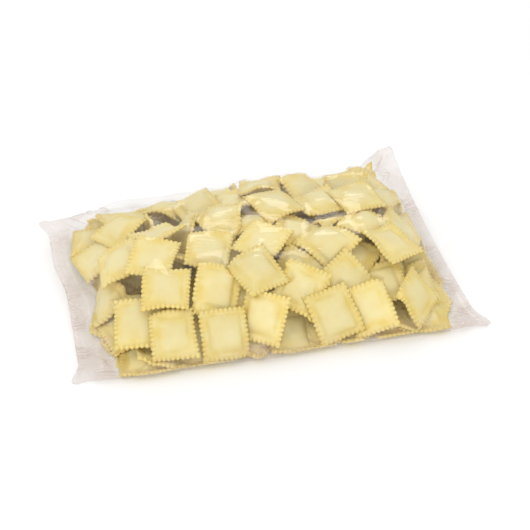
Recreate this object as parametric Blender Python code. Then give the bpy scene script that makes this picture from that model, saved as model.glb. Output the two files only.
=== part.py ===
"""A sealed clear bag of fresh ravioli, lying flat: one closed pillow with a flat seal at each end.

+X runs along the bag, from one end seal to the other, +Y goes from the front fold to the back fold,
and +Z is up. The origin is the middle of the bag's bounding box, on the surface that it lies on.
"""

import math

import bmesh
import bpy
from mathutils import Vector, noise

# Driving sizes, in metres.
BAG_LENGTH = 0.324  # between the outer edges of the two end seals
BODY_WIDTH = 0.222  # across the filled middle, from side fold to side fold
LEFT_END_WIDTH = 0.198  # the end seals are slack and buckled, so they reach less far across
RIGHT_END_WIDTH = 0.210
HEAP_HEIGHT = 0.060  # the film over the middle of the heap
SEAL_WIDTH = 0.011
SEAL_THICKNESS = 0.0016
LEFT_TAPER = 0.058  # from the left seal to where the heap is at full height
RIGHT_TAPER = 0.042
LEFT_FLAP = 0.007  # the back half of the left seal stands out this much further
RIGHT_SLANT = 0.006  # the right seal's back end is this much nearer the middle of the bag
FOLD_HEIGHT = 0.011  # how high the side folds are above the table
FOLD_THICKNESS = 0.0012
FOLD_WAVE = 0.0012  # how far the side folds waver in and out along the heap
FOLD_WAVE_LENGTH = 0.120
BUMP_HEIGHT = 0.0034  # the film's rise and fall over single ravioli
BUMP_SIZE = 0.034
EAR_LENGTH = 0.007  # how far a seal's corner sticks out past the end of the bag
BACK_RIGHT_EAR_RISE = 0.021  # this corner stands up
BACK_RIGHT_EAR_LEAN = 0.015  # and leans in over the bag

# Height of each seal above the table, at its front corner, middle and back corner.
LEFT_SEAL_HEIGHTS = (0.0022, 0.0070, 0.0170)
RIGHT_SEAL_HEIGHTS = (0.0035, 0.0075, 0.0260)

# Roundness of the section across the bag, as the powers of a superellipse.
CROWN_POWERS = (3.4, 0.72)  # the film over the heap: a broad top with round shoulders
BELLY_POWERS = (12, 0.5)  # the underside: flat on the table up to close by the folds
TAPER_POWER = 0.85  # the same for the rise from a seal to the top of the heap

# Shares of the half width or half length where a feature begins.
EAR_START = 0.80  # of the half width
END_SHIFT_START = 0.45  # of the half length
EAR_RISE_START = 0.70  # of the half length

# Mesh density.
LENGTH_CELLS = 46
WIDTH_CELLS = 26
END_CROWDING = 0.35  # 0 spaces the cells evenly, 1 crowds them into the ends and folds

FILM_COLOUR = (0.87, 0.80, 0.62, 1.0)  # pale pasta behind clear film


def clear_scene():
    for obj in list(bpy.data.objects):
        bpy.data.objects.remove(obj)


def blend(low, high, share):
    return low + (high - low) * share


def smooth_step(share, start=0.0):
    """0 up to start, rising to 1 at 1 with no kink at either end."""
    share = min(max((share - start) / (1 - start), 0.0), 1.0)
    return share * share * (3 - 2 * share)


def fullness(x):
    """0 at the inner edge of a seal, 1 where the heap is at full height."""
    inner_end = BAG_LENGTH / 2 - SEAL_WIDTH
    taper = LEFT_TAPER if x < 0 else RIGHT_TAPER
    share = min(max((inner_end - abs(x)) / taper, 0.0), 1.0)
    return math.sin(share * math.pi / 2) ** TAPER_POWER


def corner_share(across):
    """0 along a seal, rising to 1 at its two corners."""
    return smooth_step(abs(across), EAR_START)


def end_shift(x, across):
    """How far the film near an end lies to the left of the plain rectangle."""
    near_end = smooth_step(abs(x) / (BAG_LENGTH / 2), END_SHIFT_START)
    if x < 0:
        return near_end * LEFT_FLAP * smooth_step(2 * across)
    lean = BACK_RIGHT_EAR_LEAN * corner_share(across) if across > 0 else 0.0
    return near_end * (RIGHT_SLANT * (across + 1) / 2 + lean)


def seal_height(across, heights):
    """Height of a seal along its width: a parabola through its front corner, middle and back corner."""
    front, middle, back = heights
    return middle + across * (back - front) / 2 + across**2 * ((front + back) / 2 - middle)


def half_width(x, across):
    """Distance from the bag's centre line to its side fold."""
    end_width = LEFT_END_WIDTH if x < 0 else RIGHT_END_WIDTH
    half = blend(end_width, BODY_WIDTH, fullness(x) ** 0.6) / 2
    phase = 2.0 if across < 0 else 0.5
    return half + FOLD_WAVE * fullness(x) * math.sin(x / FOLD_WAVE_LENGTH * math.tau + phase)


def resting_height(x, across):
    """Height of the film where its two layers meet, at a side fold or in a seal."""
    heights = LEFT_SEAL_HEIGHTS if x < 0 else RIGHT_SEAL_HEIGHTS
    height = blend(seal_height(across, heights), FOLD_HEIGHT, fullness(x) ** 0.7)
    if x > 0 and across > 0:
        height += BACK_RIGHT_EAR_RISE * corner_share(across) * smooth_step(2 * x / BAG_LENGTH, EAR_RISE_START)
    return height


def heap_bumps(x, y):
    """Relief of the film over the ravioli under it, in two sizes."""
    place = Vector((x, y, 0.0)) / BUMP_SIZE
    finer_place = place * 2.1 + Vector((7, 3, 1))
    return BUMP_HEIGHT * (noise.noise(place) + 0.5 * noise.noise(finer_place))


def upper_height(x, y, across):
    """Height of the film over the heap, above where the two layers meet."""
    square, soft = CROWN_POWERS
    crown = (1 - abs(across) ** square) ** soft
    dome = (HEAP_HEIGHT - FOLD_HEIGHT) * crown
    bumps = heap_bumps(x, y) * (1 - across**4)
    return max(dome + bumps, 0.0) * fullness(x)


def lower_drop(x, across):
    """How much of the way down to the table the lower layer goes, from 0 to 1."""
    square, soft = BELLY_POWERS
    return (1 - abs(across) ** square) ** soft * smooth_step(fullness(x) * 1.8)


def film_point(along, across, upper):
    """Place of a film point. along and across run from -1 to 1 over the flat bag."""
    x = along * BAG_LENGTH / 2
    y = across * half_width(x, across)
    rest = resting_height(x, across)
    layer = blend(SEAL_THICKNESS, FOLD_THICKNESS, fullness(x)) / 2
    if upper:
        z = rest + layer + upper_height(x, y, across)
    else:
        z = max(rest * (1 - lower_drop(x, across)) - layer, 0.0)
    ear_base = 1 - 4.8 * SEAL_WIDTH / BAG_LENGTH
    ear = EAR_LENGTH * smooth_step(abs(along), ear_base) * corner_share(across)
    x += math.copysign(ear, x) - end_shift(x, across)
    return Vector((x, y, z))


def crowd_to_ends(share):
    """Moves evenly spaced cells so that more of them fall in the tapers, seals and folds."""
    return blend(share, math.sin(share * math.pi / 2), END_CROWDING)


def stand_over_origin(bm):
    """Puts the middle of the bounding box over the origin, with the lowest film at Z = 0."""
    xs, ys, zs = zip(*(vert.co for vert in bm.verts))
    middle = Vector(((min(xs) + max(xs)) / 2, (min(ys) + max(ys)) / 2, min(zs)))
    bmesh.ops.translate(bm, verts=bm.verts[:], vec=-middle)


def make_bag():
    """A lay-flat sheet is extruded into two layers, and each layer takes its filled shape."""
    bm = bmesh.new()
    bmesh.ops.create_grid(bm, x_segments=LENGTH_CELLS, y_segments=WIDTH_CELLS, size=1)
    grown = bmesh.ops.extrude_face_region(bm, geom=bm.faces[:])["geom"]
    upper_layer = {item for item in grown if isinstance(item, bmesh.types.BMVert)}
    for vert in bm.verts:
        along, across = crowd_to_ends(vert.co.x), crowd_to_ends(vert.co.y)
        vert.co = film_point(along, across, vert in upper_layer)
    bmesh.ops.recalc_face_normals(bm, faces=bm.faces[:])
    stand_over_origin(bm)
    mesh = bpy.data.meshes.new("sealed_bag")
    bm.to_mesh(mesh)
    bm.free()
    mesh.shade_smooth()
    bag = bpy.data.objects.new("sealed_bag", mesh)
    bpy.context.scene.collection.objects.link(bag)
    return bag


def film_material():
    material = bpy.data.materials.new("clear_film")
    material.use_nodes = True
    shader = material.node_tree.nodes["Principled BSDF"]
    shader.inputs["Base Color"].default_value = FILM_COLOUR
    shader.inputs["Roughness"].default_value = 0.22
    shader.inputs["Metallic"].default_value = 0.0
    return material


clear_scene()
make_bag().data.materials.append(film_material())
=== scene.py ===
import math
import random

import bmesh
import bpy
import numpy as np
from mathutils import Matrix, Vector, noise
from mathutils.bvhtree import BVHTree


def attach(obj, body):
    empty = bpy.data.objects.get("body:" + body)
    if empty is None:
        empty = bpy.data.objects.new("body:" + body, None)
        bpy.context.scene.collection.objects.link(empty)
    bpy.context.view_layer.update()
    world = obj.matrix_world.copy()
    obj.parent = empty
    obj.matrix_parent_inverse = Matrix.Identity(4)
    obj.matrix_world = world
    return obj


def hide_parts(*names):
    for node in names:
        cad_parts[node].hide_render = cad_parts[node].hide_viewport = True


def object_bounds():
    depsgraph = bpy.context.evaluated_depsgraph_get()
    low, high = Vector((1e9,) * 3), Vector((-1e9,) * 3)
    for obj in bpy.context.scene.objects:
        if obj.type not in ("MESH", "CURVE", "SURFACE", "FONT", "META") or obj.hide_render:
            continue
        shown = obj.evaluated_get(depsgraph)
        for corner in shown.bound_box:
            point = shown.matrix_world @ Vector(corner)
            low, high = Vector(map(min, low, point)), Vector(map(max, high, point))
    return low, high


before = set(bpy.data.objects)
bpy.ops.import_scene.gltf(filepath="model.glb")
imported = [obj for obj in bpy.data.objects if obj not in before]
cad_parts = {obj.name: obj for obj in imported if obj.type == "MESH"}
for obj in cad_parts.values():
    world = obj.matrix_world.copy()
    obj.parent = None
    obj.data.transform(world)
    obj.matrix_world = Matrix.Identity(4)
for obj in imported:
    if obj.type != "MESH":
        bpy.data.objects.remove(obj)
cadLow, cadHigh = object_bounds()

scene = bpy.context.scene
scene.view_settings.view_transform = "Standard"
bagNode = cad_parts["sealed_bag"]
millimetre = 0.001
farAway = 1.0  # a height past everything, in metres
nowhere = -farAway  # the height maps hold this where there is nothing


def smoothStep(value, start=0.0, end=1.0):
    share = np.clip((value - start) / (end - start), 0.0, 1.0)
    return share * share * (3 - 2 * share)


def addNode(tree, kind, place, **sockets):
    node = tree.nodes.new(kind)
    node.location = place
    for name, value in sockets.items():
        node.inputs[name.replace("_", " ")].default_value = value
    return node


def mixColours(tree, place, factor, first, second, blendType="MIX"):
    node = tree.nodes.new("ShaderNodeMix")
    node.data_type = "RGBA"
    node.blend_type = blendType
    node.location = place
    for socket, value in ((node.inputs[0], factor), (node.inputs[6], first), (node.inputs[7], second)):
        if isinstance(value, bpy.types.NodeSocket):
            tree.links.new(value, socket)
        else:
            socket.default_value = value
    return node.outputs[2]


def mapRange(tree, place, value, fromMin, fromMax, toMin, toMax):
    node = addNode(tree, "ShaderNodeMapRange", place)
    tree.links.new(value, node.inputs["Value"])
    for name, number in (("From Min", fromMin), ("From Max", fromMax), ("To Min", toMin), ("To Max", toMax)):
        node.inputs[name].default_value = number
    return node.outputs["Result"]


def newMaterial(name):
    material = bpy.data.materials.new(name)
    material.use_nodes = True
    tree = material.node_tree
    return material, tree, tree.nodes["Principled BSDF"]


def setPointValues(mesh, name, values):
    mesh.attributes.new(name, "FLOAT", "POINT").data.foreach_set("value", values.astype(np.float32))


cameraSet = {
    "azimuth": -13,  # degrees round from the front
    "elevation": 37,
    "distance": 1.05,
    "lens": 85,
    "target": (0.007, -0.009, 0.020),
}


def makeCamera():
    azimuth = math.radians(cameraSet["azimuth"])
    elevation = math.radians(cameraSet["elevation"])
    back = Vector((math.sin(azimuth) * math.cos(elevation), -math.cos(azimuth) * math.cos(elevation),
                   math.sin(elevation)))
    camera = bpy.data.objects.new("camera", bpy.data.cameras.new("camera"))
    camera.data.lens = cameraSet["lens"]
    camera.location = Vector(cameraSet["target"]) + back * cameraSet["distance"]
    camera.rotation_euler = back.to_track_quat("Z", "Y").to_euler()
    scene.collection.objects.link(camera)
    scene.camera = camera


lightSet = {
    "worldStrength": 0.86,
    "key": {"place": (-1.3, -0.7, 2.1), "size": 1.1, "power": 8.0},
    "fill": {"place": (-0.2, -1.7, 1.2), "size": 1.0, "power": 7.0},
    "back": {"place": (0.5, 1.7, 1.4), "size": 0.55, "power": 2.6},
    "top": {"place": (0.3, -0.8, 2.0), "size": 0.4, "power": 1.6},
}

floorSet = {
    "halfSize": 3.0,
    "colour": (0.97, 0.97, 0.97, 1),
    "roughness": 0.9,
    "specular": 0.1,
}


def makeLight(name, place, size, power):
    lamp = bpy.data.lights.new(name, "AREA")
    lamp.size = size
    lamp.energy = power
    light = bpy.data.objects.new(name, lamp)
    light.location = place
    light.rotation_euler = Vector(place).to_track_quat("Z", "Y").to_euler()
    scene.collection.objects.link(light)


def makeStage():
    world = bpy.data.worlds.new("studio")
    world.use_nodes = True
    world.node_tree.nodes["Background"].inputs["Color"].default_value = (1, 1, 1, 1)
    world.node_tree.nodes["Background"].inputs["Strength"].default_value = lightSet["worldStrength"]
    scene.world = world
    makeLight("key", **lightSet["key"])
    makeLight("fillLight", **lightSet["fill"])
    makeLight("backLight", **lightSet["back"])
    makeLight("topLight", **lightSet["top"])
    bm = bmesh.new()
    bmesh.ops.create_grid(bm, x_segments=1, y_segments=1, size=floorSet["halfSize"])
    mesh = bpy.data.meshes.new("floor")
    bm.to_mesh(mesh)
    bm.free()
    floor = bpy.data.objects.new("floor", mesh)
    material, tree, shader = newMaterial("floorPaint")
    shader.inputs["Base Color"].default_value = floorSet["colour"]
    shader.inputs["Roughness"].default_value = floorSet["roughness"]
    shader.inputs["Specular IOR Level"].default_value = floorSet["specular"]
    mesh.materials.append(material)
    scene.collection.objects.link(floor)


makeCamera()
makeStage()
print("camera, lights and floor are in place")


# The room inside the bag, as height maps over the table.
mapSet = {
    "cell": 0.002,
    "filmGap": 0.0012,  # the film's thickness and a little air
    "emptyLeft": (0.020, 0.022),  # bare film at the left end, and how much more of it at the front corner
    "emptyLeftGrows": (0.02, 0.09),  # from how far in front of the middle, and up to where
    "emptyRight": (0.016, 0.018),  # the same at the right end and its back corner
    "emptyRightGrows": (0.0, 0.10),  # and behind the middle
    "emptySides": 0.004,
    "leastRoom": 0.003,  # between the two layers of film
    "emptyBack": 0.009,  # how far the heap stays below the film at the back left, where the bag is slack
    "slackLeft": (-0.01, 0.10),  # where that begins and is full, to the left of the middle
    "slackBack": (0.0, 0.07),  # and behind it
    "ringsPastEdge": 12,
    "steepFacet": 1e-4,  # a facet whose normal is as level as this is a wall, and nothing rests on it
    "rounding": 1e-12,
}


class HeightMaps:
    # film[0] is the highest a raviolo may reach under the film, and film[1] the same for the underside,
    # upside down. taken holds the same two for the ravioli that are already in.

    def __init__(self, bag):
        self.cell = mapSet["cell"]
        self.low = np.array((cadLow.x, cadLow.y)) - 2 * self.cell
        size = np.array((cadHigh.x, cadHigh.y)) + 2 * self.cell - self.low
        self.shape = tuple((size / self.cell).astype(int) + 1)
        corners = [v.co for v in bag.data.vertices]
        tree = BVHTree.FromPolygons(corners, [p.vertices for p in bag.data.polygons])
        self.film = np.full((2,) + self.shape, nowhere)
        for i in range(self.shape[0]):
            for j in range(self.shape[1]):
                x, y = self.low + np.array((i, j)) * self.cell
                for side, sign in ((0, 1), (1, -1)):
                    hit = tree.ray_cast(Vector((x, y, sign * farAway)), Vector((0, 0, -sign)))[0]
                    if hit is not None:
                        self.film[side, i, j] = sign * hit.z - mapSet["filmGap"]
        self.inside = self.film[0] > nowhere / 2
        across = self.low[0] + np.arange(self.shape[0])[:, None] * self.cell
        depth = self.low[1] + np.arange(self.shape[1])[None, :] * self.cell
        leastLeft, moreLeft = mapSet["emptyLeft"]
        leastRight, moreRight = mapSet["emptyRight"]
        emptyLeft = leastLeft + moreLeft * smoothStep(-depth, *mapSet["emptyLeftGrows"])
        emptyRight = leastRight + moreRight * smoothStep(depth, *mapSet["emptyRightGrows"])
        self.inside &= (across > cadLow.x + emptyLeft) & (across < cadHigh.x - emptyRight)
        self.inside &= (depth > cadLow.y + mapSet["emptySides"]) & (depth < cadHigh.y - mapSet["emptySides"])
        self.inside &= self.film[0] + self.film[1] > mapSet["leastRoom"]
        slack = smoothStep(-across, *mapSet["slackLeft"]) * smoothStep(depth, *mapSet["slackBack"])
        lowered = np.minimum(slack * mapSet["emptyBack"], self.film[0] * 0.5)
        self.film[0] -= np.where(self.inside, lowered, 0)
        self.taken = np.full((2,) + self.shape, farAway)
        self.top = np.full(self.shape, nowhere)  # the heap as seen from above
        for ring in range(mapSet["ringsPastEdge"]):  # the maps go on a little past the bag's edge
            for side in (0, 1):
                height = self.film[side]
                empty = height < nowhere / 2
                for axis, step in ((0, 1), (0, -1), (1, 1), (1, -1)):
                    near = np.roll(height, step, axis)
                    height[empty] = np.maximum(height[empty], near[empty])

    def cellOf(self, points):
        index = np.rint((points[:, :2] - self.low) / self.cell).astype(int)
        return tuple(np.clip(index, 0, np.array(self.shape) - 1).T)

    def filmHeight(self, side, points):
        spot = (points[:, :2] - self.low) / self.cell
        corner = np.clip(np.floor(spot).astype(int), 0, np.array(self.shape) - 2)
        part = np.clip(spot - corner, 0, 1)
        total = 0
        for di in (0, 1):
            for dj in (0, 1):
                weight = np.abs(1 - di - part[:, 0]) * np.abs(1 - dj - part[:, 1])
                total = total + weight * self.film[side, corner[:, 0] + di, corner[:, 1] + dj]
        return total

    def restingPlane(self, side, x, y, turn, halfX, halfY):
        # slopes of the plane in which a stiff plate comes to rest on three points; level if there is none
        i0, j0 = (int(round(k)) for k in (np.array((x, y)) - self.low) / self.cell)
        span = int(math.hypot(halfX, halfY) / self.cell) + 1
        ii, jj = np.meshgrid(np.arange(-span, span + 1), np.arange(-span, span + 1), indexing="ij")
        c, s = math.cos(turn), math.sin(turn)
        dx, dy = ii * self.cell, jj * self.cell
        onPlate = (np.abs(dx * c + dy * s) <= halfX) & (np.abs(-dx * s + dy * c) <= halfY)
        onPlate &= (ii + i0 >= 0) & (ii + i0 < self.shape[0]) & (jj + j0 >= 0) & (jj + j0 < self.shape[1])
        dx, dy = dx[onPlate], dy[onPlate]
        rows, columns = ii[onPlate] + i0, jj[onPlate] + j0
        heights = np.minimum(self.film[side], self.taken[side])[rows, columns]
        bm = bmesh.new()
        for point in zip(dx, dy, heights):
            bm.verts.new(point)
        bm.verts.new((0, 0, farAway))
        bmesh.ops.convex_hull(bm, input=bm.verts[:])
        bm.normal_update()
        best = None
        for face in bm.faces:
            normal = face.normal
            if abs(normal.z) < mapSet["steepFacet"]:
                continue
            base = face.verts[0].co
            height = base.z + (normal.x * base.x + normal.y * base.y) / normal.z
            if height < 0.9 * farAway and (best is None or height < best[0]) and self.over(face):
                best = (height, -normal.x / normal.z, -normal.y / normal.z)
        bm.free()
        return best[1:] if best else (0.0, 0.0)

    def over(self, face):
        # whether a facet lies over the plate's middle
        corners = [v.co for v in face.verts]
        turns = [a.x * b.y - a.y * b.x for a, b in zip(corners, corners[1:] + corners[:1])]
        return min(turns) >= -mapSet["rounding"] or max(turns) <= mapSet["rounding"]


maps = HeightMaps(bagNode)
print("height maps:", maps.shape)


# One raviolo: two sheets of pasta crimped round a filling.
raviolo = {
    "width": 0.0378,
    "length": 0.0415,
    "teethAcross": 10,
    "teethAlong": 11,
    "cellsPerTooth": 3,
    "toothDepth": 0.0012,
    "rimRows": (0.0010, 0.0027),  # from the cut edge to the first two inner rows of points
    "sheet": 0.00130,  # half of the crimped rim's thickness
    "pillowMargin": 0.0068,  # from the cut edge to where the filling begins
    "bead": 0.0007,
    "beadShares": (0.2, 1.0),  # in the outermost row of points, and in the next two
    "toothShares": (1.0, 0.7),  # how deep a notch is in the outermost row, and in the next
    "rimShares": (0.45, 0.95),  # thickness in the same two rows
    "softness": (0.8, 2.2),
    "puff": (0.0034, 0.0062),  # height of the filling on the full side
    "backPuff": (0.0004, 0.0014),  # and on the flat side
    "sizes": (0.96, 1.04),
    "stretch": (0.97, 1.03),
    "margins": (0.85, 1.15),
    "offCentre": 0.001,
    "moundPowers": (3.2, 0.62),
    "lump": 0.22,  # share of the filling's height
    "lumpsPerMetre": 95,
    "dent": (0.0003, 0.0012),  # depth and width of the groove round the filling
    "waves": (2, 3, 3, 4),  # round the rim
    "waveHeight": (0.0002, 0.0012),
    "waveInset": 0.002,
    "saddle": 6,
    "roll": (2, 15),
    "curledCorners": (0, 1, 1, 2),
    "corners": (0.72, 2.42, -0.72, -2.42),  # directions in radians
    "cornerSpread": 0.3,
    "cornerReach": (0.013, 0.020),
    "cornerCurl": (15, 60),
    "leastCurl": 0.5,
}


def makeBlank():
    # flat sheet and its copy; returns the mesh, places from -1 to 1, and matching top and bottom points
    cells = raviolo["cellsPerTooth"]
    bm = bmesh.new()
    bmesh.ops.create_grid(bm, x_segments=raviolo["teethAcross"] * cells,
                          y_segments=raviolo["teethAlong"] * cells, size=1.0)
    grown = bmesh.ops.extrude_face_region(bm, geom=bm.faces[:])["geom"]
    for item in grown:
        if isinstance(item, bmesh.types.BMVert):
            item.co.z = 1.0
    bmesh.ops.recalc_face_normals(bm, faces=bm.faces[:])
    for face in bm.faces:
        face.smooth = True
    mesh = bpy.data.meshes.new("ravioloBlank")
    bm.to_mesh(mesh)
    bm.free()
    places = np.empty(len(mesh.vertices) * 3)
    mesh.vertices.foreach_get("co", places)
    places = places.reshape(-1, 3)
    order = np.lexsort((places[:, 1].round(5), places[:, 0].round(5), places[:, 2].round()))
    half = len(order) // 2
    return mesh, places, order[half:], order[:half]


blank, blankPlaces, topPoints, bottomPoints = makeBlank()
gridShape = (raviolo["teethAcross"] * raviolo["cellsPerTooth"] + 1,
             raviolo["teethAlong"] * raviolo["cellsPerTooth"] + 1)
print("one raviolo has", len(blankPlaces), "points")


def spreadRow(place, half, cells):
    # two rows sit a fixed way in from each cut edge, the rest are even
    row = np.rint((place + 1) / 2 * cells)
    fromEdge = np.minimum(row, cells - row)
    first, second = raviolo["rimRows"]
    even = (row - cells / 2) / (cells / 2 - 2) * (half - second)
    even = np.where(fromEdge < 2, np.sign(place) * (half - first), even)
    return np.where(fromEdge < 1, np.sign(place) * half, even), fromEdge


def bend(points, angle, curl, start=None):
    # rolls the sheet about a line in its plane; with a start, only what lies past that line
    if abs(curl) < raviolo["leastCurl"]:
        return points
    radius = 1 / curl
    c, s = math.cos(angle), math.sin(angle)
    along = points[:, 0] * c + points[:, 1] * s
    across = -points[:, 0] * s + points[:, 1] * c
    z = points[:, 2]
    base = 0.0 if start is None else start
    past = along - base
    rolled = base + (radius - z) * np.sin(past / radius)
    lifted = radius - (radius - z) * np.cos(past / radius)
    if start is not None:
        rolled = np.where(past > 0, rolled, along)
        lifted = np.where(past > 0, lifted, z)
    return np.stack((rolled * c - across * s, rolled * s + across * c, lifted), axis=1)


def shapeRaviolo(rng, full):
    # returns the points, and masks of the filling, the rim and the painted shade in its notches; full: the
    # filled side is up
    scale = rng.uniform(*raviolo["sizes"])
    halfX = raviolo["width"] / 2 * scale
    halfY = raviolo["length"] / 2 * scale * rng.uniform(*raviolo["stretch"])
    softness = rng.uniform(*raviolo["softness"])
    u, v, level = blankPlaces.T
    cells = raviolo["cellsPerTooth"]
    countX, countY = raviolo["teethAcross"] * cells, raviolo["teethAlong"] * cells
    x, rowX = spreadRow(u, halfX, countX)
    y, rowY = spreadRow(v, halfY, countY)
    stepX = np.rint((u + 1) / 2 * countX).astype(int) + rng.randrange(cells)
    stepY = np.rint((v + 1) / 2 * countY).astype(int) + rng.randrange(cells)
    valleyX, valleyY = stepY % cells == 0, stepX % cells == 0
    depth, shares = raviolo["toothDepth"], list(raviolo["toothShares"])
    x = x - np.sign(u) * depth * np.select([rowX < 1, rowX < 2], shares, 0.0) * (valleyX & (rowY > 1))
    y = y - np.sign(v) * depth * np.select([rowY < 1, rowY < 2], shares, 0.0) * (valleyY & (rowX > 1))
    edgeDistance = np.minimum(halfX - np.abs(x), halfY - np.abs(y))
    # filling
    margin = raviolo["pillowMargin"] * rng.uniform(*raviolo["margins"])
    a, b = halfX - margin, halfY - margin
    off = raviolo["offCentre"]
    cx, cy = rng.uniform(-off, off), rng.uniform(-off, off)
    shareX, shareY = np.abs((x - cx) / a), np.abs((y - cy) / b)
    square, soft = raviolo["moundPowers"]
    mound = np.clip(1 - shareX**square, 0, 1) * np.clip(1 - shareY**square, 0, 1)
    shift = rng.uniform(0, 50)  # to another place in the noise
    often = raviolo["lumpsPerMetre"]
    lump = np.array([noise.noise(Vector((px * often + shift, py * often, shift))) for px, py in zip(x, y)])
    mound = mound**soft
    puffs = [rng.uniform(*raviolo["puff"]), rng.uniform(*raviolo["backPuff"])]
    if not full:
        puffs.reverse()
    topPuff, bottomPuff = puffs
    isTop = level > 0.5
    outer = np.minimum(rowX, rowY)
    rimThick = raviolo["sheet"] * np.select([outer < 1, outer < 2], list(raviolo["rimShares"]), 1.0)
    ridge = np.where(rowX < rowY, ~valleyX, ~valleyY)
    beadShare = np.select([outer < 1, outer < 3], list(raviolo["beadShares"]), 0.0)
    beads = raviolo["bead"] * beadShare * (ridge.astype(float) - 0.5)
    dentDepth, dentWidth = raviolo["dent"]
    dent = -dentDepth * np.exp(-((edgeDistance - margin * 0.8) / dentWidth) ** 2)
    z = np.where(isTop,
                 rimThick + beads + dent + mound * topPuff * (1 + raviolo["lump"] * lump),
                 -rimThick - beads * 0.5 - dent - mound * bottomPuff * (1 + raviolo["lump"] * lump))
    # soft dough: waves in the rim, a saddle, one roll and one or two curled corners
    around = np.arctan2(y, x)
    waves = rng.choice(raviolo["waves"])
    edgeShare = smoothStep(margin + raviolo["waveInset"] - edgeDistance, 0, margin)
    height = softness * rng.uniform(*raviolo["waveHeight"])
    z = z + height * edgeShare * np.sin(waves * around + rng.uniform(0, 6.3))
    z = z + softness * rng.uniform(-raviolo["saddle"], raviolo["saddle"]) * x * y
    points = np.stack((x, y, z), axis=1)
    direction = rng.uniform(0, math.pi)
    points = bend(points, direction, softness * rng.choice((-1, 1)) * rng.uniform(*raviolo["roll"]))
    spread = raviolo["cornerSpread"]
    for curled in range(rng.choice(raviolo["curledCorners"])):
        corner = rng.choice(raviolo["corners"]) + rng.uniform(-spread, spread)
        reach = rng.uniform(*raviolo["cornerReach"])
        curl = softness * rng.choice((-1, -1, 1)) * rng.uniform(*raviolo["cornerCurl"])
        points = bend(points, corner, curl, start=reach)
    rim = 1 - smoothStep(edgeDistance, 0.0005, margin * 0.75)
    # the notches between teeth get painted shade: the crimp is darkened in the colour
    notchPaintedShade = (~ridge & (outer < 3)).astype(float)
    return points, np.stack((np.clip(mound, 0, 1), rim, notchPaintedShade))


# The ravioli that lie against the film. Each row: x and y in millimetres, turn about its own face,
# lean to the right (+) or left and to the back (+) or front, in degrees, how many millimetres it has
# slipped down from the film, and whether its filled side is up. Earlier rows lie over later ones.
topRavioli = [
    (-84, -58, -14, 0, 0, 2, False),
    (-10, -54, 22, 0, 0, 1, True),
    (46, -92, 14, 0, 0, 8, True),
    (94, 22, 12, 0, 0, 1, False),
    (106, -42, 26, 0, 0, 2, True),
    (-91, -96, -2, 0, 0, 9, False),
    (-117, -78, -8, 0, 0, 4, False),
    (-47, -97, -3, 0, 0, 8, True),
    (80, -96, -1, 0, 0, 8, False),
    (-14, -95, -32, 0, 0, 6, True),
    (22, -69, -38, 0, -10, 0, True),
    (23, 26, 20, 0, 0, 0, False),
    (62, -66, 36, 0, 0, 1, False),
    (-44, -61, -14, 0, 0, 0, True),
    (2, -21, -42, 0, 0, 0, False),
    (-88, -20, -24, 0, 0, 0, False),
    (-42, -20, -14, 0, -8, 1, False),
    (54, -31, 35, 0, 0, 0, True),
    (93, -12, -42, 0, 0, 0, True),
    (12, -99, -4, 0, 16, 16, True),
    (-64, -93, -5, 0, 0, 8, True),
    (-21, -66, 24, 0, -12, 1, False),
    (126, -8, -30, 0, 0, 1, False),
    (-114, -6, 2, 0, 0, 0, True),
    (116, -84, -48, 34, 0, 4, False),
    (133, -72, -52, 26, 0, 3, False),
    (-106, -47, 6, 0, 34, 2, False),
    (-78, -69, -28, 0, 34, 2, True),
    (-24, 21, -28, 0, 0, 0, True),
    (75, -38, -42, 0, 18, 0, False),
    (92, -66, 2, 0, 0, 1, True),
    (62, 27, 10, 0, 0, 1, True),
    (70, 10, 22, 0, 36, 1, False),
    (-79, 17, 22, 0, 24, 2, False),
    (-108, 50, 32, 0, 0, 5, True),
    (-130, 34, 14, 0, 0, 3, False),
    (33, -86, -22, 0, 0, 2, False),
    (0, -68, 66, 0, 0, 1, True),
    (-70, -57, -24, -24, 0, 1, False),
    (108, -42, 74, 46, 0, 0, False),
    (-56, 20, -62, -44, 0, 1, False),
    (-64, 30, -66, -50, 0, 1, True),
    (118, -98, 6, 0, 10, 12, False),
    (34, -8, -20, 0, 0, 1, True),
    (27, -44, 44, 0, 0, 1, False),
    (128, -46, 12, 0, 0, 1, True),
    (-110, -98, -6, 0, 8, 14, False),
    (44, -96, -60, 24, 0, 8, False),
    (-134, -20, -66, -34, 0, 1, False),
    (-130, 12, -58, -34, 0, 1, False),
    (-38, 62, 12, 0, 0, 2, True),
    (-72, 48, 18, 0, 0, 2, False),
    (92, 50, -20, 0, 0, 0, False),
    (120, 40, -36, 0, 0, 0, True),
    (60, 62, 30, 0, 0, 0, False),
    (20, 68, -14, 0, 8, 0, True),
    (-4, 58, -12, 0, 0, 1, False),
    (-130, -60, -72, 0, 0, 2, False),
    (60, -96, 70, -28, 0, 8, True),
    (-28, -98, 50, 30, 0, 9, False),
    (98, 16, 18, 0, 22, 1, False),
    (-6, -42, -64, 24, 0, 1, True),
    (-100, 24, -40, 20, 0, 2, True),
    (40, 44, -52, 0, 24, 1, False),
    (-18, 84, 8, 0, 0, 2, False),
    (-62, 82, -10, 0, 0, 4, True),
    (30, 92, 14, 0, 0, 2, True),
    (78, 86, -8, 0, 0, 2, False),
    (-100, 80, 24, 0, 0, 6, False),
    (112, 72, 36, 0, 0, 2, True),
]

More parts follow.
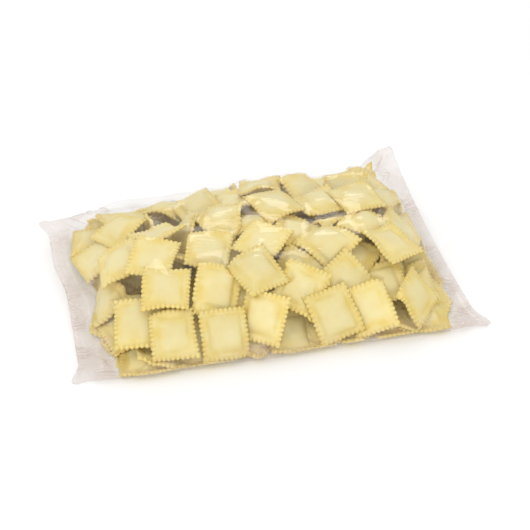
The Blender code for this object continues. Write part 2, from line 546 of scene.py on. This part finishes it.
heapSet = {
    "seed": 37,
    "handTries": 12,  # for a row that doesn't fit at once
    "handInwards": 0.012,  # how much nearer the middle it is at each try
    "fill": ((0, 130, 16), (1, 50, 5), (0, 40, 22), (1, 40, 12)),  # side, places, random lean in degrees
    "candidates": 14,  # for each place
    "scatter": 0.005,
    "edgeOn": 0.45,  # share of the candidates from above that stand on edge
    "edgeLean": (40, 80),  # degrees
    "follow": (0.7, 1.0),  # how much of the slope below or above it a piece takes on
    "steepest": 56,  # degrees
    "plate": (0.018, 0.020),  # half sizes of the stiff plate that finds that slope
    "nudges": 14,
    "nudge": 0.975,
    "inBag": 0.993,  # share of a piece that has to be inside
    "press": 28,  # percent of a piece that may run into the ravioli it is laid against
    "filmPress": 12,  # and into the film
    "farPress": 4,  # percent that may reach further than the next into the ravioli on the other side
    "farReach": 0.0015,
    "ownGive": 0.006,  # how far nearly all of a piece may have to give, on its own side
    "farGive": 0.009,  # and on the other
    "givePercent": 97,
    "giveSmoothing": 3,
    "giveKept": 0.85,
    "steps": 8,  # a piece that doesn't fit is tried a step lower
    "stepDown": 0.0018,
    "leastBody": 0.001,  # thickness left to a piece between the two layers of film
    "randomPlaces": 8,
    "randomEnds": (0.036, 0.026, 0.018),  # kept free at the left, at the right and along the side folds
    "randomPatch": 4,  # cells to each side over which the room is averaged
    "randomRoom": 0.008,
    "emptyEnds": (0.040, 0.028, 0.014),  # the same for the hollows: left, right and along the side folds
    "hollowBlur": 6,
    "triedDepth": 0.012,
    "triedReach": 0.008,
}


def envelope(index, heights, highest):
    # heights of a piece's points gathered in map cells: (cells, extreme height in each)
    flat = index[0] * maps.shape[1] + index[1]
    order = np.argsort(flat, kind="stable")
    flat, heights = flat[order], heights[order]
    starts = np.flatnonzero(np.concatenate(([True], flat[1:] != flat[:-1])))
    reduce = np.maximum if highest else np.minimum
    return flat[starts], reduce.reduceat(heights, starts)


def settle(points, x, y, turn, leanX, leanY, side, follow=1.0, drop=0.0):
    # lays a piece under what is above it (side 0) or on what is below it (side 1); None if there is no room
    sign = 1 if side == 0 else -1
    a, b = maps.restingPlane(side, x, y, math.radians(turn), *heapSet["plate"])
    steep = math.hypot(a, b)
    if steep > 1e-6:
        allowed = min(steep * follow, math.tan(math.radians(heapSet["steepest"]))) / steep
        a, b = a * allowed * sign, b * allowed * sign
    lie = Vector((-a, -b, 1)).normalized()
    tilt = lie.rotation_difference(Vector((0, 0, 1))).inverted().to_matrix()
    lean = Matrix.Rotation(math.radians(leanX), 3, "Y") @ Matrix.Rotation(math.radians(-leanY), 3, "X")
    matrix = np.array(tilt @ lean @ Matrix.Rotation(math.radians(turn), 3, "Z"))
    turned = points @ matrix.T
    for nudge in range(heapSet["nudges"]):
        placed = turned + (x, y, 0.0)
        index = maps.cellOf(placed)
        cells, reach = envelope(index, sign * placed[:, 2], True)
        if maps.inside.ravel()[cells].mean() > heapSet["inBag"]:
            break
        x, y = x * heapSet["nudge"], y * heapSet["nudge"]
    else:
        return None
    underFilm = np.percentile(maps.film[side].ravel()[cells] - reach, heapSet["filmPress"])
    underHeap = np.percentile(maps.taken[side].ravel()[cells] - reach, heapSet["press"])
    height = min(underFilm, underHeap)
    placed[:, 2] += sign * (height - drop)
    for step in range(heapSet["steps"]):
        trial = placed.copy()
        trial[:, 2] -= sign * step * heapSet["stepDown"]
        if not giveWay(trial, side, heapSet["ownGive"]):
            continue
        if not giveWay(trial, 1 - side, heapSet["farGive"]):
            return None
        flatten(trial)
        cells, far = envelope(maps.cellOf(trial), sign * trial[:, 2], False)
        room = -maps.taken[1 - side].ravel()[cells]
        if np.percentile(far - room, heapSet["farPress"]) < -heapSet["farReach"]:
            return None
        return trial, height
    return None


def giveWay(placed, side, most):
    # the soft dough gives where it meets the film or the ravioli on this side
    # False if it would have to give too much
    sign = 1 if side == 0 else -1
    sheet, twin = (topPoints, bottomPoints) if side == 0 else (bottomPoints, topPoints)
    points = placed[sheet]
    limit = np.minimum(maps.filmHeight(side, points), maps.taken[side][maps.cellOf(points)])
    give = np.maximum(sign * points[:, 2] - limit, 0).reshape(gridShape)
    if np.percentile(give, heapSet["givePercent"]) > most:
        return False
    for smoothing in range(heapSet["giveSmoothing"]):
        spread = np.pad(give, 1, mode="edge")
        spread = (spread[:-2, 1:-1] + spread[2:, 1:-1] + spread[1:-1, :-2] + spread[1:-1, 2:] + 2 * give) / 6
        give = np.maximum(give * heapSet["giveKept"], spread)
    placed[sheet, 2] -= sign * give.ravel()
    placed[twin, 2] -= sign * give.ravel()
    return True


def flatten(placed):
    # cuts a piece off where it would poke through the film, above or below
    ceiling = maps.filmHeight(0, placed)
    floor = np.minimum(-maps.filmHeight(1, placed), ceiling - heapSet["leastBody"])
    upright = placed[topPoints, 2].mean() > placed[bottomPoints, 2].mean()
    higher, lower = (topPoints, bottomPoints) if upright else (bottomPoints, topPoints)
    floor[higher] = np.minimum(floor[higher] + raviolo["sheet"], ceiling[higher])
    ceiling[lower] = np.maximum(ceiling[lower] - raviolo["sheet"], floor[lower])
    placed[:, 2] = np.clip(placed[:, 2], floor, ceiling)


def keep(placed, side):
    # the maps take in a piece that stays
    sign = 1 if side == 0 else -1
    index = maps.cellOf(placed)
    cells, far = envelope(index, sign * placed[:, 2], False)
    maps.taken[side].ravel()[cells] = np.minimum(maps.taken[side].ravel()[cells], far)
    cells, high = envelope(index, placed[:, 2], True)
    maps.top.ravel()[cells] = np.maximum(maps.top.ravel()[cells], high)


def cover(placed):
    # how much of the hollow under the film a piece would fill, as seen from above
    cells, high = envelope(maps.cellOf(placed), placed[:, 2], True)
    return float(np.maximum(high - np.maximum(maps.top.ravel()[cells], 0.0), 0.0).sum())


def blurred(field, times):
    for again in range(times):
        wide = np.pad(field, 1, mode="edge")
        field = (wide[:-2, 1:-1] + wide[2:, 1:-1] + wide[1:-1, :-2] + wide[1:-1, 2:] + 2 * field) / 6
    return field


def deepestHollow(tried):
    # the place where the heap lies furthest below the film, passing over places already tried
    hollow = blurred(maps.film[0] - np.maximum(maps.top, 0.0), heapSet["hollowBlur"]) - tried
    xs = maps.low[0] + np.arange(maps.shape[0]) * maps.cell
    ys = maps.low[1] + np.arange(maps.shape[1]) * maps.cell
    left, right, side = heapSet["emptyEnds"]
    hollow[(xs < cadLow.x + left) | (xs > cadHigh.x - right), :] = -1
    hollow[:, (ys < cadLow.y + side) | (ys > cadHigh.y - side)] = -1
    i, j = np.unravel_index(np.argmax(hollow), hollow.shape)
    near = ((xs - xs[i]) ** 2)[:, None] + ((ys - ys[j]) ** 2)[None, :]
    tried += heapSet["triedDepth"] * np.exp(-near / heapSet["triedReach"] ** 2)
    return float(xs[i]), float(ys[j])


def roomiest(rng, side):
    # of some random places, the one with the most room left
    best, bestRoom = None, nowhere
    left, right, fold = heapSet["randomEnds"]
    reach = heapSet["randomPatch"]
    for attempt in range(heapSet["randomPlaces"]):
        x = rng.uniform(cadLow.x + left, cadHigh.x - right)
        y = rng.uniform(cadLow.y + fold, cadHigh.y - fold)
        i, j = (int(k) for k in np.rint((np.array((x, y)) - maps.low) / maps.cell))
        patch = (slice(i - reach, i + reach + 1), slice(j - reach, j + reach + 1))
        upper = np.minimum(maps.film[0], maps.taken[0])[patch]
        lower = np.minimum(maps.film[1], maps.taken[1])[patch]
        surface = upper if side == 0 else lower
        room = float(np.mean(surface)) if np.mean(upper + lower) > heapSet["randomRoom"] else nowhere
        if room > bestRoom:
            best, bestRoom = (x, y), room
    return best


def fillHeap():
    rng = random.Random(heapSet["seed"])
    heap = []
    for x, y, turn, leanX, leanY, drop, full in topRavioli:
        for attempt in range(heapSet["handTries"]):
            share = 1 - attempt / (heapSet["handTries"] - 1)  # a piece that doesn't fit leans and slips less
            points, masks = shapeRaviolo(rng, full)
            inwards = 1 - heapSet["handInwards"] * attempt
            spot = x * millimetre * inwards, y * millimetre * inwards
            leans = leanX * share, leanY * share
            found = settle(points, *spot, turn, *leans, 0, drop=drop * millimetre * share)
            if found is not None:
                keep(found[0], 0)
                heap.append((found[0], masks, rng.random()))
                break
        else:
            print("no room for the raviolo at", x, y)
    print("laid by hand:", len(heap), "of", len(topRavioli))
    for side, count, spread in heapSet["fill"]:
        tried = np.zeros(maps.shape)
        for number in range(count):
            hollow = deepestHollow(tried) if side == 0 else None
            best = None
            for candidate in range(heapSet["candidates"]):
                points, masks = shapeRaviolo(rng, rng.random() < 0.5)
                spot = roomiest(rng, side)
                if side == 0:
                    spot = tuple(place + rng.gauss(0, heapSet["scatter"]) for place in hollow)
                if spot is None:
                    continue
                leans = rng.gauss(0, spread), rng.gauss(0, spread)
                if side == 0 and rng.random() < heapSet["edgeOn"]:
                    leans = rng.choice((-1, 1)) * rng.uniform(*heapSet["edgeLean"]), rng.gauss(0, spread)
                turn, follow = rng.uniform(0, 360), rng.uniform(*heapSet["follow"])
                found = settle(points, *spot, turn, *leans, side, follow=follow)
                if found is None:
                    continue
                score = cover(found[0]) if side == 0 else found[1]
                if best is None or score > best[0]:
                    best = (score, found[0], masks)
            if best is not None:
                keep(best[1], side)
                heap.append((*best[1:], rng.random()))
        print("ravioli after fill from side", side, ":", len(heap))
    return heap


def joinRavioli(name, group):
    bm = bmesh.new()
    for placed, masks, tone in group:
        copy = blank.copy()
        copy.vertices.foreach_set("co", placed.ravel())
        bm.from_mesh(copy)
        bpy.data.meshes.remove(copy)
    mesh = bpy.data.meshes.new(name)
    bm.to_mesh(mesh)
    bm.free()
    count = len(blankPlaces)
    for row, mask in enumerate(("filling", "rim", "notchPaintedShade")):
        setPointValues(mesh, mask, np.concatenate([masks[row] for placed, masks, tone in group]))
    setPointValues(mesh, "tone", np.repeat([tone for placed, masks, tone in group], count))
    piece = bpy.data.objects.new(name, mesh)
    scene.collection.objects.link(piece)
    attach(piece, "root")
    return piece


pasta = {
    "dough": (0.79, 0.62, 0.19, 1),
    "doughPale": (0.82, 0.70, 0.31, 1),
    "filling": (0.80, 0.72, 0.42, 1),
    "rim": (0.82, 0.65, 0.21, 1),
    "notchPaintedShade": (0.66, 0.45, 0.10, 1),  # painted shade in the crimp between two teeth
    "fillingShare": 0.55,  # how strongly each of the three colours shows
    "rimShare": 0.6,
    "notchPaintedShadeShare": 0.5,
    "tones": (0.93, 1.05),  # from the darkest raviolo to the palest
    "broadScale": 75.0,
    "fineScale": 420.0,
    "roughness": (0.42, 0.62),
    "specular": 0.35,
    "subsurface": 0.20,
    "subsurfaceScale": 0.003,
    "subsurfaceRadius": (1.0, 0.75, 0.35),
    "bump": (0.25, 0.0004),  # strength and depth
}


def makePasta():
    material, tree, shader = newMaterial("freshPasta")
    links = tree.links
    coordinates = addNode(tree, "ShaderNodeTexCoord", (-1400, 0))
    broad = addNode(tree, "ShaderNodeTexNoise", (-1200, 200), Detail=3.0, Roughness=0.5)
    fine = addNode(tree, "ShaderNodeTexNoise", (-1200, -100), Detail=3.0, Roughness=0.55)
    broad.inputs["Scale"].default_value = pasta["broadScale"]
    fine.inputs["Scale"].default_value = pasta["fineScale"]
    for texture in (broad, fine):
        links.new(coordinates.outputs["Object"], texture.inputs["Vector"])
    values = {}
    for row, name in enumerate(("filling", "rim", "notchPaintedShade", "tone")):
        node = addNode(tree, "ShaderNodeAttribute", (-1200, -350 - 180 * row))
        node.attribute_name = name
        values[name] = node.outputs["Fac"]
    mottle = mapRange(tree, (-950, 250), broad.outputs["Fac"], 0.38, 0.62, 0, 1)
    colour = mixColours(tree, (-700, 300), mottle, pasta["dough"], pasta["doughPale"])
    fillingShare = mapRange(tree, (-950, -350), values["filling"], 0.15, 1.0, 0, pasta["fillingShare"])
    colour = mixColours(tree, (-500, 250), fillingShare, colour, pasta["filling"])
    rimShare = mapRange(tree, (-950, -550), values["rim"], 0, 1, 0, pasta["rimShare"])
    colour = mixColours(tree, (-300, 200), rimShare, colour, pasta["rim"])
    # painted shade in the crimp between two teeth: a darker colour mixed in
    notchPaintedShadeShare = mapRange(tree, (-950, -750), values["notchPaintedShade"], 0, 1, 0, pasta["notchPaintedShadeShare"])
    colour = mixColours(tree, (-210, 200), notchPaintedShadeShare, colour, pasta["notchPaintedShade"])
    toneShade = mapRange(tree, (-950, -950), values["tone"], 0, 1, *pasta["tones"])
    shade = addNode(tree, "ShaderNodeHueSaturation", (-120, 150))
    links.new(colour, shade.inputs["Color"])
    links.new(toneShade, shade.inputs["Value"])
    links.new(shade.outputs["Color"], shader.inputs["Base Color"])
    links.new(mapRange(tree, (-300, -150), fine.outputs["Fac"], 0.3, 0.7, *pasta["roughness"]),
              shader.inputs["Roughness"])
    shader.inputs["Specular IOR Level"].default_value = pasta["specular"]
    shader.inputs["Subsurface Weight"].default_value = pasta["subsurface"]
    shader.inputs["Subsurface Scale"].default_value = pasta["subsurfaceScale"]
    shader.inputs["Subsurface Radius"].default_value = pasta["subsurfaceRadius"]
    strength, depth = pasta["bump"]
    bump = addNode(tree, "ShaderNodeBump", (-200, -400), Strength=strength, Distance=depth)
    links.new(fine.outputs["Fac"], bump.inputs["Height"])
    links.new(bump.outputs["Normal"], shader.inputs["Normal"])
    return material


# The clear film: haze where it hangs slack over nothing, painted shade along its crease lines and where it
# turns edge-on, and reflections that grow as it turns edge-on.
film = {
    "colour": (0.64, 0.50, 0.42, 1),
    "glint": (0.95, 0.93, 0.92, 1),
    "overHeap": 0.006,
    "slackHaze": (0.10, 0.21),
    "creases": ((150, 6, (14, 70, 14), 0.022), (-150, -38, (16, 55, 16), 0.016)),  # row, turn, stretch, width
    # darker haze along the crease lines is painted shade
    "creasePaintedShade": 0.30,
    "creaseBump": (0.6, 0.0006),  # strength and depth
    "sealHaze": 0.03,
    # darker haze where the film turns edge-on is painted shade
    "edgePaintedShade": 0.45,
    "reflection": (0.007, 0.32),  # seen straight on and edge-on
    "roughness": 0.09,
    "cloudScale": 38.0,
    "edgeBlend": 0.22,
    "subdivisions": 2,
    "rounding": 0.6,
    "iterations": 260,
    "sink": 0.00003,  # in each iteration
    "sag": (0.006, 0.003),  # how far the film may sink below its full shape, and rise above it
    "gap": 0.0005,
    "sealThickness": (0.0020, 0.0035),  # the bag is a seal up to the first, and body from the second
    "body": (0.003, 0.010),  # from the first the film moves, and at the second its wrinkles are full
    "faceUp": 0.25,
    "wrinkle": 0.0013,
}


def addMath(tree, place, operation, first, second):
    node = tree.nodes.new("ShaderNodeMath")
    node.operation = operation
    node.location = place
    for socket, value in zip(node.inputs, (first, second)):
        if isinstance(value, bpy.types.NodeSocket):
            tree.links.new(value, socket)
        else:
            socket.default_value = value
    return node.outputs[0]


def creaseLines(tree, place, coordinates, turn, stretch, width):
    # thin lines where a stretched noise crosses its middle value
    mapping = addNode(tree, "ShaderNodeMapping", place, Rotation=(0, 0, math.radians(turn)), Scale=stretch)
    tree.links.new(coordinates, mapping.inputs["Vector"])
    x, y = place
    texture = addNode(tree, "ShaderNodeTexNoise", (x + 200, y), Scale=1.0, Detail=1.5, Distortion=0.4)
    tree.links.new(mapping.outputs[0], texture.inputs["Vector"])
    offset = addMath(tree, (x + 400, y), "SUBTRACT", texture.outputs["Fac"], 0.5)
    distance = addMath(tree, (x + 550, y), "ABSOLUTE", offset, 0.0)
    return mapRange(tree, (x + 700, y), distance, 0.0, width, 1.0, 0.0)


def makeFilmMaterial():
    material, tree, shader = newMaterial("clearFilm")
    output = tree.nodes["Material Output"]
    links = tree.links
    coordinates = addNode(tree, "ShaderNodeTexCoord", (-2200, 0)).outputs["Object"]
    values = {}
    for row, name in enumerate(("slack", "seal")):
        node = addNode(tree, "ShaderNodeAttribute", (-1900, -500 - 180 * row))
        node.attribute_name = name
        values[name] = node.outputs["Fac"]
    cloud = addNode(tree, "ShaderNodeTexNoise", (-1900, 400), Scale=film["cloudScale"], Detail=3.0)
    links.new(coordinates, cloud.inputs["Vector"])
    along, across = (creaseLines(tree, (-1900, row), coordinates, *lines) for row, *lines in film["creases"])
    creases = addMath(tree, (-950, 0), "MAXIMUM", along, across)
    patches = mapRange(tree, (-950, 250), cloud.outputs["Fac"], 0.42, 0.62, 0, 1)
    creases = addMath(tree, (-750, 50), "MULTIPLY", creases, patches)
    # painted shade: darker haze in the film's colour along the crease lines, which also drive the bump
    creases = addMath(tree, (-600, 50), "MULTIPLY", creases, film["creasePaintedShade"])
    slackHaze = mapRange(tree, (-750, 300), cloud.outputs["Fac"], 0.35, 0.65, *film["slackHaze"])
    hazeAndPaintedShade = addMath(tree, (-450, 150), "ADD", slackHaze, creases)
    hazeAndPaintedShade = addMath(tree, (-300, 150), "MULTIPLY", hazeAndPaintedShade, values["slack"])
    sealHaze = addMath(tree, (-450, -50), "MULTIPLY", values["seal"], film["sealHaze"])
    hazeAndPaintedShade = addMath(tree, (-150, 100), "ADD", hazeAndPaintedShade, sealHaze)
    hazeAndPaintedShade = addMath(tree, (0, 100), "ADD", hazeAndPaintedShade, film["overHeap"])
    strength, depth = film["creaseBump"]
    bump = addNode(tree, "ShaderNodeBump", (-450, -350), Strength=strength, Distance=depth)
    links.new(creases, bump.inputs["Height"])
    facing = addNode(tree, "ShaderNodeLayerWeight", (-250, -300), Blend=film["edgeBlend"])
    links.new(bump.outputs["Normal"], facing.inputs["Normal"])
    reflection = mapRange(tree, (-50, -200), facing.outputs["Facing"], 0.05, 1.0, *film["reflection"])
    # painted shade: darker haze where the film turns edge-on
    edgeShade = mapRange(tree, (-50, -450), facing.outputs["Facing"], 0.55, 1.0, 0.0, film["edgePaintedShade"])
    hazeAndPaintedShade = addMath(tree, (80, 150), "ADD", hazeAndPaintedShade, edgeShade)
    total = addMath(tree, (150, 0), "ADD", hazeAndPaintedShade, reflection)
    mirror = addMath(tree, (300, -200), "DIVIDE", reflection, total)
    colour = mixColours(tree, (450, -100), mirror, film["colour"], film["glint"])
    shader.location = (700, -100)
    links.new(colour, shader.inputs["Base Color"])
    links.new(mirror, shader.inputs["Metallic"])
    links.new(bump.outputs["Normal"], shader.inputs["Normal"])
    shader.inputs["Roughness"].default_value = film["roughness"]
    clear = addNode(tree, "ShaderNodeBsdfTransparent", (700, 150))
    mix = addNode(tree, "ShaderNodeMixShader", (1000, 100))
    output.location = (1200, 100)
    links.new(total, mix.inputs["Fac"])
    links.new(clear.outputs[0], mix.inputs[1])
    links.new(shader.outputs[0], mix.inputs[2])
    links.new(mix.outputs[0], output.inputs["Surface"])
    return material


def filmMesh():
    # the sealed bag's own surface with finer faces
    bm = bmesh.new()
    bm.from_mesh(bagNode.data)
    bmesh.ops.remove_doubles(bm, verts=bm.verts[:], dist=0.00001)
    bmesh.ops.join_triangles(bm, faces=bm.faces[:], angle_face_threshold=3.1, angle_shape_threshold=3.1)
    bmesh.ops.subdivide_edges(bm, edges=bm.edges[:], cuts=film["subdivisions"], smooth=film["rounding"],
                              use_grid_fill=True)
    for face in bm.faces:
        face.smooth = True
    mesh = bpy.data.meshes.new("film")
    bm.to_mesh(mesh)
    bm.free()
    return mesh


def pointArray(mesh, name):
    values = np.empty(len(mesh.vertices) * 3)
    mesh.vertices.foreach_get(name, values)
    return values.reshape(-1, 3)


def wrinkles(points, slack):
    # ridges in the empty film: they run out from the seals and fade over the heap
    heights = []
    for x, y, z in points:
        ridge = noise.noise(Vector((x * 12 + 3, y * 62, 0.4)))
        slanted = noise.noise(Vector((x * 30, y * 34 + x * 26, 7)))
        heights.append(ridge + 0.9 * slanted)
    return film["wrinkle"] * np.array(heights) * slack


def makeFilm():
    mesh = filmMesh()
    points = pointArray(mesh, "co")
    normals = pointArray(mesh, "normal")
    edges = np.empty(len(mesh.edges) * 2, dtype=int)
    mesh.edges.foreach_get("vertices", edges)
    first, second = edges.reshape(-1, 2).T
    count = np.bincount(edges, minlength=len(points))
    start = points[:, 2].copy()
    index = maps.cellOf(points)
    support = maps.top[index] + film["gap"]
    thickness = maps.film[0] + maps.film[1] + 2 * mapSet["filmGap"]
    seal = blurred(1 - smoothStep(thickness, *film["sealThickness"]), 1)[index]
    slack = smoothStep(blurred((maps.top < 0).astype(float), 8), 0.1, 0.9)[index]
    upper = (normals[:, 2] > film["faceUp"]) & (thickness[index] > film["body"][0])
    lift = wrinkles(points, slack) * smoothStep(thickness[index], *film["body"])
    lowest, highest = start - film["sag"][0], start + film["sag"][1]
    z = start.copy()
    for step in range(film["iterations"]):
        total = np.bincount(first, z[second], len(z)) + np.bincount(second, z[first], len(z))
        pulled = 0.5 * z + 0.5 * total / count - film["sink"]
        pulled = np.clip(np.maximum(pulled, support), lowest, highest)
        z = np.where(upper, pulled, z)
    points[:, 2] = np.maximum(np.where(upper, z + lift, z), 0.0)
    mesh.vertices.foreach_set("co", points.ravel())
    setPointValues(mesh, "slack", slack)
    setPointValues(mesh, "seal", seal)
    piece = bpy.data.objects.new("film", mesh)
    scene.collection.objects.link(piece)
    mesh.materials.append(makeFilmMaterial())
    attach(piece, "root")
    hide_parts("sealed_bag")
    print("film triangles:", sum(len(p.vertices) - 2 for p in mesh.polygons))


ravioli = fillHeap()
pastaMaterial = makePasta()
perPiece = 45  # keeps each piece under 200,000 triangles
for number, begin in enumerate(range(0, len(ravioli), perPiece)):
    joined = joinRavioli("ravioli_" + str(number + 1), ravioli[begin:begin + perPiece])
    joined.data.materials.append(pastaMaterial)
print("ravioli joined")
makeFilm()
print("film laid over the heap")
